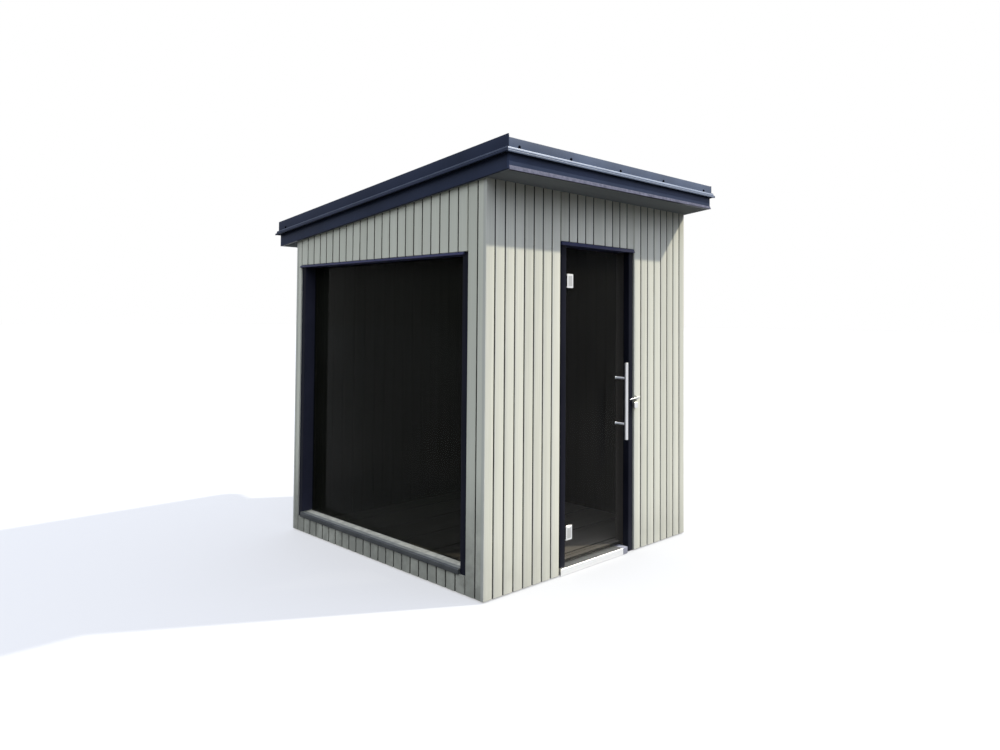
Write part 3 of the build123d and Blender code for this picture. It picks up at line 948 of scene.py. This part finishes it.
def jambShell(axis, begin, end, reveal, lowLevel, topLevel, revealPaint=0):
    # a folded jamb with rounded outer corners; behind the glass its sides are lined with timber
    face, glassBack, room = reveal
    corners = [(end, face), (end, glassBack), (end, room), (begin, room), (begin, glassBack), (begin, face)]
    outline = roundOff(corners, [doorFrame["fold"], 0, 0, 0, 0, doorFrame["fold"]])
    step = nextEdges(outline)[1]
    behind = np.minimum(outline[:, 1], np.roll(outline[:, 1], -1)) > glassBack - hair
    paint = np.where(behind, 1, revealPaint * (step[:, 1] > 2 * step[:, 0]))
    return upright(outline if axis == 0 else outline[:, ::-1], lowLevel, topLevel, paint=paint)


def headShells(axis, face, begin, end, lapBegin, lapEnd, top, bottom, inside):
    # a slab in the wall and a wedge that kicks its lower edge out
    root = face + doorFrame["headSunk"]
    wedge = [(root, top), (face - doorFrame["kick"], bottom), (root, bottom)]
    wedge = roundOff(wedge, [0, doorFrame["headFold"], 0])
    return [
        carried(rectangle(face, inside, bottom, top), begin, end, axis),
        carried(wedge, lapBegin, lapEnd, axis, doorFrame["headEase"]),
    ]


jambPaints = ["jambTrimShade", "frameWood"]
jambFoot = rectangle(clearRight, doorRight, doorReveal[0], skirtBack)
jambFoot = roundOff(jambFoot, [doorFrame["fold"]] * 2 + [0] * 2)
leftJamb = [jambShell(0, doorLeft, clearLeft, doorReveal, low("door_jamb_left")[2], doorHeadLow)]
rightJamb = [
    jambShell(0, clearRight, doorRight, doorReveal, baseTop, doorHeadLow),
    upright(jambFoot, low("door_jamb_right")[2], baseTop),
]
doorHead = headShells(
    0, wallFront, doorLeft, doorRight, low("door_head")[0], doorRight, doorTop, doorHeadLow, innerFront,
)
addPiece("door_jamb_left_fold", leftJamb, jambPaints, "door_jamb_left")
addPiece("door_jamb_right_fold", rightJamb, jambPaints, "door_jamb_right")
addPiece("door_head_fold", doorHead, ["headTrimSheen"], "door_head")

(startX, frontY, lowZ), (stopX, backY, topZ) = low("door_threshold"), high("door_threshold")
sheetLow, greyEndStart = topZ - doorFrame["sheet"], stopX - doorFrame["cap"]
foot, rear, nose = doorFrame["footRound"], doorFrame["backRound"], doorFrame["nose"]
thresholdSection = roundOff(
    [
        (frontY, lowZ), (skirtBack, lowZ), (skirtBack, sheetLow),
        (backY, sheetLow), (backY, topZ), (frontY, topZ),
    ],
    [foot, 0, 0, rear, rear, nose],
)
thresholdEnd = roundOff(rectangle(frontY, wallFront, lowZ, topZ), [foot, 0, 0, nose])
# the threshold's last 48 mm is painted a darker grey
thresholdShells = [
    carried(thresholdSection, doorLeft, greyEndStart, 0),
    carried(thresholdSection, greyEndStart, stopX, 0, paint=1),
    carried(thresholdEnd, startX, doorLeft, 0),
]
thresholdPaints = ["thresholdMetal", "thresholdGreyEnd"]
addPiece("door_threshold_nosing", thresholdShells, thresholdPaints, "door_threshold")
print("door frame made")


# door leaf: one sheet of glass, its hinges and pull bar

arris = 0.0015  # ground off every edge of the glass


def paneShell(node):
    # a flat sheet with all its edges ground off
    lowest, highest = low(node), high(node)
    outline = roundOff(rectangle(lowest[0], highest[0], lowest[1], highest[1]), arris)
    return upright(outline, lowest[2], highest[2], arris, arris)


addPiece("door_pane", [paneShell("door_glass")], ["doorGlass"], "door_glass", "door")

hinge = {
    "plateCorner": 0.005, "plateEase": 0.0016, "plateStart": 0.027, "plateBack": 0.002,
    "fieldInset": 0.011, "field": (0.0014, 0.004), "fieldEase": 0.0005,
    "knuckleGap": 0.010, "knuckleLap": 0.004, "knuckleBack": 0.003,
    "barrel": 0.006, "barrelEase": 0.0012, "footEase": 0.0006, "bore": 0.0035, "boreDepth": 0.0403,
    "pin": 0.0032, "pinEase": 0.001, "seatEase": 0.0008, "armEase": 0.0006, "armGap": 0.0002,
}
barrelRadius = hinge["barrel"]


def hingePlateShells(node):
    # a plate with rounded corners and a dull field, and a barrel bored from below for the pin
    lowest, highest = low(node), high(node)
    axisX, axisY, foot = lowest[0] + barrelRadius, lowest[1] + barrelRadius, lowest[2]
    plateLeft, plateRight, back, top = axisX + hinge["plateStart"], highest[0], highest[1], highest[2]
    inset, gap, length = hinge["fieldInset"], hinge["knuckleGap"], top - foot
    plate = rectangle(plateLeft, plateRight, foot, top)
    field = rectangle(plateLeft + inset, plateRight - inset, foot + inset, top - inset)
    knuckle = rectangle(axisX, plateLeft + hinge["knuckleLap"], foot + gap, top - gap)
    barrel = [
        (hinge["bore"], hinge["boreDepth"]), (hinge["bore"], 0), (barrelRadius - hinge["footEase"], 0),
        (barrelRadius, hinge["footEase"]), (barrelRadius, length - hinge["barrelEase"]),
        (barrelRadius - hinge["barrelEase"], length),
    ]
    plate, field = (roundOff(shape, hinge["plateCorner"]) for shape in (plate, field))
    fieldFront, fieldBack = axisY + np.array(hinge["field"])
    return [
        carried(plate, axisY + hinge["plateBack"], back, 1, hinge["plateEase"]),
        carried(field, fieldFront, fieldBack, 1, hinge["fieldEase"], paint=1),
        carried(knuckle, axisY + hinge["knuckleBack"], back, 1, hinge["fieldEase"], paint=2),
        turned(barrel, (axisX, axisY, foot), (0, 0, 1), paint=2),
    ]


def hingeBracketShells(node):
    # an arm from the jamb to a round seat that carries the pin
    lowest, highest = low(node), high(node)
    axisX, axisY, foot = highest[0] - barrelRadius, (lowest[1] + highest[1]) / 2, lowest[2]
    length = highest[2] - foot
    seat, ease, pinEase = length - hinge["boreDepth"], hinge["armEase"], hinge["pinEase"]
    pin = [
        (barrelRadius - hinge["seatEase"], 0), (barrelRadius, hinge["seatEase"]), (barrelRadius, seat),
        (hinge["pin"], seat), (hinge["pin"], length - pinEase), (hinge["pin"] - pinEase, length),
    ]
    arm = roundOff(rectangle(lowest[0], axisX, lowest[1], highest[1]), hinge["seatEase"])
    return [
        upright(arm, foot + ease, foot + seat - hinge["armGap"], ease, ease),
        turned(pin, (axisX, axisY, foot), (0, 0, 1)),
    ]


pull = {
    "barEase": 0.002, "barSides": 40, "postSides": 28, "postRadius": 0.007,
    "collar": 0.0092, "collarHigh": 0.003, "collarRim": (0.6, 0.92), "collarNeck": 0.001,
    "seatShare": 0.95, "seatStart": 0.003, "seatEdge": 0.002,
}


def barShell(node):
    # a round tube with its end edges taken off
    lowest, highest = low(node), high(node)
    radius, length, ease = (highest[0] - lowest[0]) / 2, highest[2] - lowest[2], pull["barEase"]
    profile = [(radius - ease, 0), (radius, ease), (radius, length - ease), (radius - ease, length)]
    return turned(profile, lowest + np.array([radius, radius, 0]), (0, 0, 1), pull["barSides"])


def postShell(node):
    # a collar against the glass, a thinner stem, and a seat that meets the bar
    lowest, highest = low(node), high(node)
    reach, collar, stem, deep = highest[1] - lowest[1], pull["collar"], pull["postRadius"], pull["collarHigh"]
    rimLevel, rimShare = pull["collarRim"]
    seat = collar * pull["seatShare"]
    profile = [
        (collar, 0), (collar, deep * rimLevel), (collar * rimShare, deep), (stem, deep + pull["collarNeck"]),
        (stem, reach - pull["seatStart"]), (seat, reach - pull["seatEdge"]), (seat, reach),
    ]
    centre = ((lowest[0] + highest[0]) / 2, highest[1], (lowest[2] + highest[2]) / 2)
    return turned(profile, centre, (0, -1, 0), pull["postSides"])


hingePaints = ["brushedSteel", "dullSteel", "screwCoat"]
for place in ("top", "bottom"):
    plateNode, bracketNode = "hinge_plate_" + place, "hinge_bracket_" + place
    addPiece("hinge_leaf_" + place, hingePlateShells(plateNode), hingePaints, plateNode, "door")
    addPiece("hinge_seat_" + place, hingeBracketShells(bracketNode), ["screwCoat"], bracketNode)
addPiece("handle_pull_bar", [barShell("handle_bar")], ["satinPull"], "handle_bar", "door")
for place in ("top", "bottom"):
    postNode = "handle_post_" + place
    addPiece("handle_turned_post_" + place, [postShell(postNode)], ["satinPost"], postNode, "door")
print("door leaf hung")


# window: folded jambs, kicked head, sloped sill with end upstands, one fixed pane

windowFrame = {
    "headInset": 0.028, "nose": 0.004, "footRound": 0.002, "sillFront": 0.027, "sillBack": 0.031,
    "sillNose": 0.020, "sillLight": 0.050, "upstand": 0.006, "upstandThick": 0.0025, "upstandInset": 0.002,
    "upstandSunk": 0.004, "upstandRound": 0.004, "upstandEase": 0.0006,
}
paneLow, paneHigh = low("window_glass"), high("window_glass")
paneLeft, paneFront, paneBack = paneLow[0], paneLow[1], paneHigh[1]
frameLeft, windowHeadLow = low("window_jamb_front")[0], low("window_head")[2]
windowReveal = (frameLeft, paneHigh[0], innerLeft)
headStart = windowFront + windowFrame["headInset"]
frontJamb = jambShell(1, windowFront, paneFront, windowReveal, windowLow, windowHeadLow)
# the back jamb's reveal takes the lighter reveal paint, painted light
backJamb = jambShell(1, paneBack, windowBack, windowReveal, windowLow, windowHeadLow, revealPaint=2)
headLap = high("window_head")[1]
windowHead = headShells(
    1, wallLeft, headStart, windowBack, headStart, headLap, windowTop, windowHeadLow, innerLeft,
)
headEnd = rectangle(frameLeft, innerLeft, windowHeadLow, windowTop)
windowHead.append(carried(headEnd, windowFront, headStart, 1, paint=1))
addPiece("window_jamb_front_fold", [frontJamb], jambPaints, "window_jamb_front")
addPiece("window_jamb_back_fold", [backJamb], [*jambPaints, "revealTrimLit"], "window_jamb_back")
addPiece("window_head_fold", windowHead, ["headTrimSheen", "jambTrimShade"], "window_head")

sillLeft = low("window_sill")[0]
sillNose, sillRear = windowLow + windowFrame["sillFront"], windowLow + windowFrame["sillBack"]


def onSill(reach):
    # a point of the sloping top, measured in from its nose
    return sillLeft + reach, sillNose + (sillRear - sillNose) * reach / (paneLeft - sillLeft)


def sillShells():
    # a folded section whose top grows lighter inwards, dust and a painted sheen, with a thin upstand at each
    # end
    settings = windowFrame
    section = [
        (sillLeft, windowLow), (innerLeft, windowLow), (innerLeft, sillRear), (paneLeft, sillRear),
        onSill(settings["sillLight"]), onSill(settings["sillNose"]), (sillLeft, sillNose),
    ]
    outline = roundOff(section, [settings["footRound"], 0, 0, 0, 0, 0, settings["nose"]])
    middle = nextEdges(outline)[0]
    inward = middle[:, 0] - sillLeft
    onTop = (middle[:, 1] > sillNose + hair) & (inward > settings["sillNose"])
    shells = [carried(outline, paneFront, paneBack, 1, paint=onTop * (1 + (inward > settings["sillLight"])))]
    start, sunk, rise = sillLeft + settings["upstandInset"], settings["upstandSunk"], settings["upstand"]
    upstand = [
        (start, sillNose - sunk), (paneLeft, sillRear - sunk),
        (paneLeft, sillRear + rise), (start, sillNose + rise),
    ]
    upstand = roundOff(upstand, [0, 0, 0, settings["upstandRound"]])
    thick = settings["upstandThick"]
    for begin in (paneFront, paneBack - thick):
        shells.append(carried(upstand, begin, begin + thick, 1, settings["upstandEase"], paint=1))
    return shells


addPiece("window_sill_fold", sillShells(), ["sillMetal", "sillMiddleDustAndSheen", "sillTopDustAndSheen"], "window_sill")
addPiece("window_pane", [paneShell("window_glass")], ["windowGlass"], "window_glass")
print("window made")


# hasp, staple and padlock beside the door

lock = {
    "strapCorner": 0.004, "strapHigh": 0.015, "strapInset": 0.0042, "strapRise": 0.010, "strapEase": 0.0008,
    "strapScrews": (0.078, 0.093), "screwSides": 18,
    "screwHead": [(0.0038, -0.0005), (0.0034, 0.0008), (0.0020, 0.0016), (0.0001, 0.0018)],
    "stapleRadius": 0.016, "stapleWire": 0.0025, "sunlitTurn": 0.9,
    "shackleRadius": 0.010, "shackleWire": 0.0020, "shackleOut": 0.003, "shackleSunk": 0.004, "legPoints": 6,
    "bodyCorner": 0.006, "bodySteps": 6, "bodyEase": 0.0022, "bodyHigh": 0.038,
    "keyRing": [(0.0062, 0), (0.0062, 0.0008), (0.0052, 0.0012), (0.0050, 0.0004)],
    "collar": [(0.0034, -0.001), (0.0034, 0.0008), (0.0028, 0.0014)],
}
halfTurn = np.linspace(0, math.pi, 25)


def strapShells(node):
    # a flat bar that rises to the right, with round screw heads along its middle
    lowest, highest = low(node), high(node)
    rise, inset, tall = lock["strapRise"], lock["strapInset"], lock["strapHigh"]
    corners = [
        (lowest[0], lowest[2] + inset), (highest[0], lowest[2] + rise + inset),
        (highest[0], highest[2] - inset), (lowest[0], lowest[2] + tall - inset),
    ]
    tilt = rise / (highest[0] - lowest[0])
    bar = carried(roundOff(corners, lock["strapCorner"]), lowest[1], highest[1], 1, lock["strapEase"])
    places = [(lowest[0] + x, lowest[1], lowest[2] + tall / 2 + tilt * x) for x in lock["strapScrews"]]
    return [bar] + [
        turned(lock["screwHead"], place, (0, -1, 0), lock["screwSides"], capped=True) for place in places
    ]


def stapleShell(node):
    # half a ring that stands out of the wall, its middle painted bright steel as a painted highlight and its
    # ends near-black as painted shade
    middle, radius = (low(node) + high(node)) / 2, lock["stapleRadius"]
    path = np.column_stack([
        np.full_like(halfTurn, middle[0]),
        wallFront - radius * np.sin(halfTurn),
        middle[2] + radius * np.cos(halfTurn),
    ])
    sunlitMiddle = (np.abs(halfTurn[:-1] + halfTurn[1:] - math.pi) < lock["sunlitTurn"]).astype(int)
    return rod(path, lock["stapleWire"], (1, 0, 0), paint=sunlitMiddle[:, None])


def padlockShells(node):
    # a block with rounded corners, a bow on two legs with their collars, and a ring round the keyhole
    lowest, highest = low(node), high(node)
    middle, top, radius = (lowest[0] + highest[0]) / 2, lowest[2] + lock["bodyHigh"], lock["shackleRadius"]
    bowY, bowLevel = low("hasp_strap")[1] - lock["shackleOut"], highest[2] - lock["shackleWire"] - radius
    body = roundOff(rectangle(lowest[0], highest[0], lowest[2], top), lock["bodyCorner"], lock["bodySteps"])
    legs = np.linspace(top - lock["shackleSunk"], bowLevel, lock["legPoints"])[:-1]
    bowX = radius * np.concatenate([-np.ones_like(legs), -np.cos(halfTurn), np.ones_like(legs)])
    bowZ = np.concatenate([legs, bowLevel + radius * np.sin(halfTurn), legs[::-1]])
    bow = np.column_stack([middle + bowX, np.full_like(bowX, bowY), bowZ])
    keyPlace = (middle, (lowest[1] + wallFront) / 2, lowest[2])
    return [
        carried(body, lowest[1], wallFront, 1, lock["bodyEase"]),
        # the bow takes the near-black ring paint, painted shade
        rod(bow, lock["shackleWire"], (0, 1, 0), paint=1),
        turned(lock["keyRing"], keyPlace, (0, 0, -1)),
        *(
            turned(lock["collar"], (middle + shift, bowY, top), (0, 0, 1), lock["screwSides"])
            for shift in (-radius, radius)
        ),
    ]


addPiece("hasp_plate", strapShells("hasp_strap"), ["brushedSteel"], "hasp_strap")
addPiece("hasp_ring", [stapleShell("hasp_staple")], ["ringShade", "brushedSteel"], "hasp_staple")
addPiece("padlock_body", padlockShells("padlock"), ["padlockSteel", "ringShade"], "padlock")
print("hasp and padlock made")


# light, world and floor

light = {
    "sunStrength": 4.2, "sunSpread": 1.2, "sunWay": (-0.606, 0.362, -0.692), "sunColour": (1.0, 0.955, 0.82),
    "skyColour": (1.38, 1.51, 1.84), "skyRise": (0.12, 0.60), "horizon": 0.14, "zenith": 1.22,
    "floorBounce": 0.035, "floorPaint": 0.5, "floorGlow": 0.5, "floorReach": 120.0,
}
white = (1, 1, 1, 1)
sunData = bpy.data.lights.new("studioSun", "SUN")
sunData.energy = light["sunStrength"]
sunData.angle = math.radians(light["sunSpread"])
sunData.color = light["sunColour"]
sun = bpy.data.objects.new("studioSun", sunData)
sun.rotation_euler = Vector(light["sunWay"]).to_track_quat("-Z", "Y").to_euler()
bpy.context.scene.collection.objects.link(sun)


def seenDirectly(tree):
    # 1 where a camera, mirror or see-through ray arrives, 0 for soft light
    path = addNode(tree, "ShaderNodeLightPath")
    first, second = (addNode(tree, "ShaderNodeMath", operation="MAXIMUM") for step in range(2))
    wire(
        tree,
        (path.outputs["Is Camera Ray"], first.inputs[0]), (path.outputs["Is Glossy Ray"], first.inputs[1]),
        (first.outputs[0], second.inputs[0]), (path.outputs["Is Transmission Ray"], second.inputs[1]),
    )
    return second.outputs[0]


def mixShaders(tree, factor, first, second):
    # factor is a share or a socket
    node = addNode(tree, "ShaderNodeMixShader")
    if isinstance(factor, float):
        node.inputs[0].default_value = factor
    else:
        wire(tree, (factor, node.inputs[0]))
    wire(tree, (first.outputs[0], node.inputs[1]), (second.outputs[0], node.inputs[2]))
    return node


def startTree(owner):
    owner.use_nodes = True
    owner.node_tree.nodes.clear()
    return owner.node_tree


world = bpy.data.worlds.new("studioWorld")
bpy.context.scene.world = world
worldTree = startTree(world)
sky = addNode(worldTree, "ShaderNodeBackground", {"Color": (*light["skyColour"], 1)})
backdrop = addNode(worldTree, "ShaderNodeBackground", {"Color": white, "Strength": 1.0})
# the soft light grows with the height of the sky that it comes from
skyPlace, skyApart = addNode(worldTree, "ShaderNodeTexCoord"), addNode(worldTree, "ShaderNodeSeparateXYZ")
wire(worldTree, (skyPlace.outputs["Generated"], skyApart.inputs[0]))
skyLight = rescale(worldTree, skyApart.outputs["Z"], light["horizon"], light["zenith"], *light["skyRise"])
worldOut = addNode(worldTree, "ShaderNodeOutputWorld")
worldMix = mixShaders(worldTree, seenDirectly(worldTree), sky, backdrop)
wire(worldTree, (skyLight, sky.inputs["Strength"]), (worldMix.outputs[0], worldOut.inputs["Surface"]))

floorFinish = bpy.data.materials.new("studioFloor")
floorTree = startTree(floorFinish)
bounce, shadowed = (
    addNode(floorTree, "ShaderNodeBsdfDiffuse", {"Color": (light[key],) * 3 + (1,)})
    for key in ("floorBounce", "floorPaint")
)
glow = addNode(floorTree, "ShaderNodeEmission", {"Color": white, "Strength": 1.0})
seen = mixShaders(floorTree, light["floorGlow"], shadowed, glow)
floorOut = addNode(floorTree, "ShaderNodeOutputMaterial")
floorMix = mixShaders(floorTree, seenDirectly(floorTree), bounce, seen)
wire(floorTree, (floorMix.outputs[0], floorOut.inputs["Surface"]))
floorMesh = bpy.data.meshes.new("studioFloor")
floorPlan = rectangle(-light["floorReach"], light["floorReach"], -light["floorReach"], light["floorReach"])
floorMesh.from_pydata([(x, y, 0) for x, y in floorPlan], [], [(0, 1, 2, 3)])
floorMesh.materials.append(floorFinish)
studioFloor = bpy.data.objects.new("studioFloor", floorMesh)
bpy.context.scene.collection.objects.link(studioFloor)
print("light and floor set")
